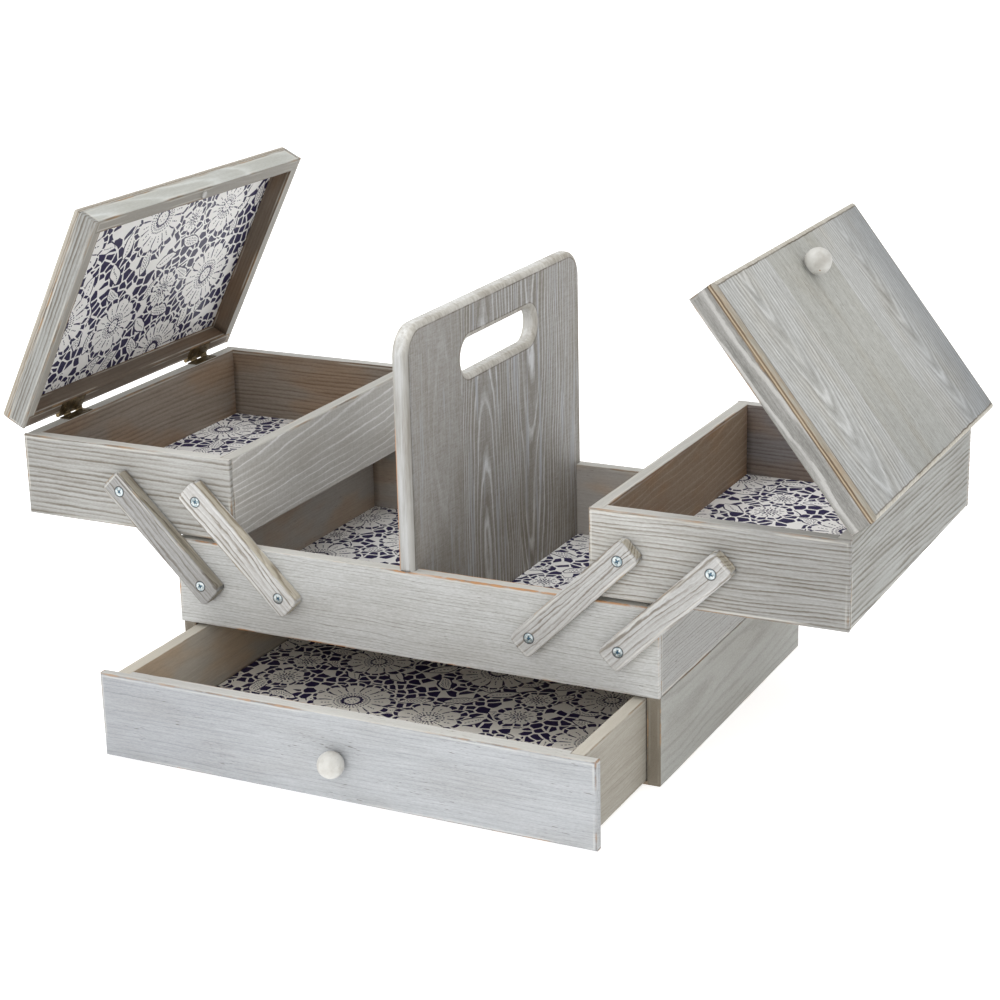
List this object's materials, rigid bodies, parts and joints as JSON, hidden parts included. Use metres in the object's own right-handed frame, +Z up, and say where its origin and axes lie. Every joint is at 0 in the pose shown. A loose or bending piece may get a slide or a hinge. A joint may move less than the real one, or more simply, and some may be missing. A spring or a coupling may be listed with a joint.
{
  "type": "sewing box",
  "caption": "Cantilever wooden sewing box: upper boxes with hinged lids swing out on arms above a divided tray with a carry handle board, over a sliding drawer.",
  "frame": {"origin": "centre of the carcass underside, on the surface the box stands on", "axes": "+X right along the face with the drawer knob, +Y from the drawer front to the back, +Z up"},
  "size_m": [0.674, 0.4167, 0.3669],
  "materials": {
    "ribbed_wood": "grey-washed wire-brushed boards, brown where the edges are worn",
    "lid_wood": "grey-washed wire-brushed boards with cathedral grain, worn tan edges",
    "tray_wood": "grey-washed wire-brushed boards, orange-brown wear lines on the rims",
    "drawer_front_wood": "pale blue-grey wash with fine dark horizontal grain",
    "drawer_side_wood": "warm beige thin stain with cathedral grain",
    "handle_wood": "grey-washed vertical grain, smooth beige rounded edges",
    "arm_wood": "grey-washed ribbed battens, brown worn ends",
    "plywood": "brown stained thin board",
    "knob_paint": "off-white satin paint on turned wood, slight dents",
    "lining_paper": "off-white printed paper with dark blue lace cutwork pattern",
    "zinc": "bright zinc-plated screws",
    "antique_brass": "antiqued brass, half matt",
    "clear_bumper": "small pale translucent bumper"
  },
  "bodies": {
    "base": {"carcass_left_side": "tray_wood", "carcass_right_side": "tray_wood", "carcass_back": "tray_wood", "carcass_bottom": "plywood", "tray_front": "tray_wood", "tray_back": "tray_wood", "tray_left_end": "tray_wood", "tray_right_end": "tray_wood", "tray_floor": "plywood", "tray_liners": "lining_paper", "handle_board": "handle_wood", "tray_arm_screws": "zinc"},
    "drawer": {"drawer_front": "drawer_front_wood", "drawer_left_side": "drawer_side_wood", "drawer_right_side": "drawer_side_wood", "drawer_back": "drawer_side_wood", "drawer_bottom": "plywood", "drawer_liner": "lining_paper", "drawer_knob": "knob_paint", "drawer_knob_screw": "zinc"},
    "left_front_inner_arm": {"left_front_inner_arm": "arm_wood"},
    "left_front_outer_arm": {"left_front_outer_arm": "arm_wood"},
    "left_rear_inner_arm": {"left_rear_inner_arm": "arm_wood"},
    "left_rear_outer_arm": {"left_rear_outer_arm": "arm_wood"},
    "left_box": {"left_box_outer_wall": "ribbed_wood", "left_box_inner_wall": "ribbed_wood", "left_box_front": "ribbed_wood", "left_box_back": "ribbed_wood", "left_box_floor": "plywood", "left_box_liner": "lining_paper", "left_box_screws_and_pins": "zinc", "left_hinge_box_leaves": "antique_brass"},
    "left_lid": {"left_lid_panel": "lid_wood", "left_lid_long_rails": "lid_wood", "left_lid_end_rails": "lid_wood", "left_lid_liner": "lining_paper", "left_lid_knob": "knob_paint", "left_lid_screws": "zinc", "left_hinge_lid_leaves": "antique_brass", "left_lid_bumper": "clear_bumper"},
    "right_front_inner_arm": {"right_front_inner_arm": "arm_wood"},
    "right_front_outer_arm": {"right_front_outer_arm": "arm_wood"},
    "right_rear_inner_arm": {"right_rear_inner_arm": "arm_wood"},
    "right_rear_outer_arm": {"right_rear_outer_arm": "arm_wood"},
    "right_box": {"right_box_outer_wall": "ribbed_wood", "right_box_inner_wall": "ribbed_wood", "right_box_front": "ribbed_wood", "right_box_back": "ribbed_wood", "right_box_floor": "plywood", "right_box_liner": "lining_paper", "right_box_screws_and_pins": "zinc", "right_hinge_box_leaves": "antique_brass"},
    "right_lid": {"right_lid_panel": "lid_wood", "right_lid_long_rails": "lid_wood", "right_lid_end_rails": "lid_wood", "right_lid_liner": "lining_paper", "right_lid_knob": "knob_paint", "right_lid_screws": "zinc", "right_hinge_lid_leaves": "antique_brass", "right_lid_bumper": "clear_bumper"}
  },
  "joints": [
    {"name": "drawer_slide", "type": "slide", "parent": "base", "child": "drawer", "axis": [0, -1, 0], "range_m": [-0.1, 0.07]},
    {"name": "left_swing", "type": "hinge", "parent": "base", "child": "left_front_inner_arm", "pos_m": [-0.099, -0.1475, 0.09914], "axis": [0, 1, 0], "range_deg": [-1.5, 92.7]},
    {"name": "left_box_pivot", "type": "hinge", "parent": "left_front_inner_arm", "child": "left_box", "pos_m": [-0.16447, -0.1475, 0.16322], "axis": [0, 1, 0], "range_deg": [-93, 2]},
    {"name": "left_front_outer_pivot", "type": "hinge", "parent": "base", "child": "left_front_outer_arm", "pos_m": [-0.16455, -0.1475, 0.09914], "axis": [0, 1, 0], "range_deg": [-2, 93]},
    {"name": "left_rear_inner_pivot", "type": "hinge", "parent": "base", "child": "left_rear_inner_arm", "pos_m": [-0.099, 0.1475, 0.09914], "axis": [0, 1, 0], "range_deg": [-2, 93]},
    {"name": "left_rear_outer_pivot", "type": "hinge", "parent": "base", "child": "left_rear_outer_arm", "pos_m": [-0.16455, 0.1475, 0.09914], "axis": [0, 1, 0], "range_deg": [-2, 93]},
    {"name": "left_lid_hinge", "type": "hinge", "parent": "left_box", "child": "left_lid", "pos_m": [-0.32291, 0, 0.1963], "axis": [0, -1, 0], "range_deg": [-63.15, 31.85]},
    {"name": "right_swing", "type": "hinge", "parent": "base", "child": "right_front_inner_arm", "pos_m": [0.099, -0.1475, 0.09914], "axis": [0, -1, 0], "range_deg": [-1.5, 92.7]},
    {"name": "right_box_pivot", "type": "hinge", "parent": "right_front_inner_arm", "child": "right_box", "pos_m": [0.16447, -0.1475, 0.16322], "axis": [0, -1, 0], "range_deg": [-93, 2]},
    {"name": "right_front_outer_pivot", "type": "hinge", "parent": "base", "child": "right_front_outer_arm", "pos_m": [0.16455, -0.1475, 0.09914], "axis": [0, -1, 0], "range_deg": [-2, 93]},
    {"name": "right_rear_inner_pivot", "type": "hinge", "parent": "base", "child": "right_rear_inner_arm", "pos_m": [0.099, 0.1475, 0.09914], "axis": [0, -1, 0], "range_deg": [-2, 93]},
    {"name": "right_rear_outer_pivot", "type": "hinge", "parent": "base", "child": "right_rear_outer_arm", "pos_m": [0.16455, 0.1475, 0.09914], "axis": [0, -1, 0], "range_deg": [-2, 93]},
    {"name": "right_lid_hinge", "type": "hinge", "parent": "right_box", "child": "right_lid", "pos_m": [0.32144, 0, 0.1963], "axis": [0, 1, 0], "range_deg": [-52.36, 42.64]}
  ],
  "couplings": [
    {"joint": "left_box_pivot", "follows": "left_swing", "ratio": -1},
    {"joint": "left_front_outer_pivot", "follows": "left_swing", "ratio": 1},
    {"joint": "left_rear_inner_pivot", "follows": "left_swing", "ratio": 1},
    {"joint": "left_rear_outer_pivot", "follows": "left_swing", "ratio": 1},
    {"joint": "right_box_pivot", "follows": "right_swing", "ratio": -1},
    {"joint": "right_front_outer_pivot", "follows": "right_swing", "ratio": 1},
    {"joint": "right_rear_inner_pivot", "follows": "right_swing", "ratio": 1},
    {"joint": "right_rear_outer_pivot", "follows": "right_swing", "ratio": 1}
  ]
}
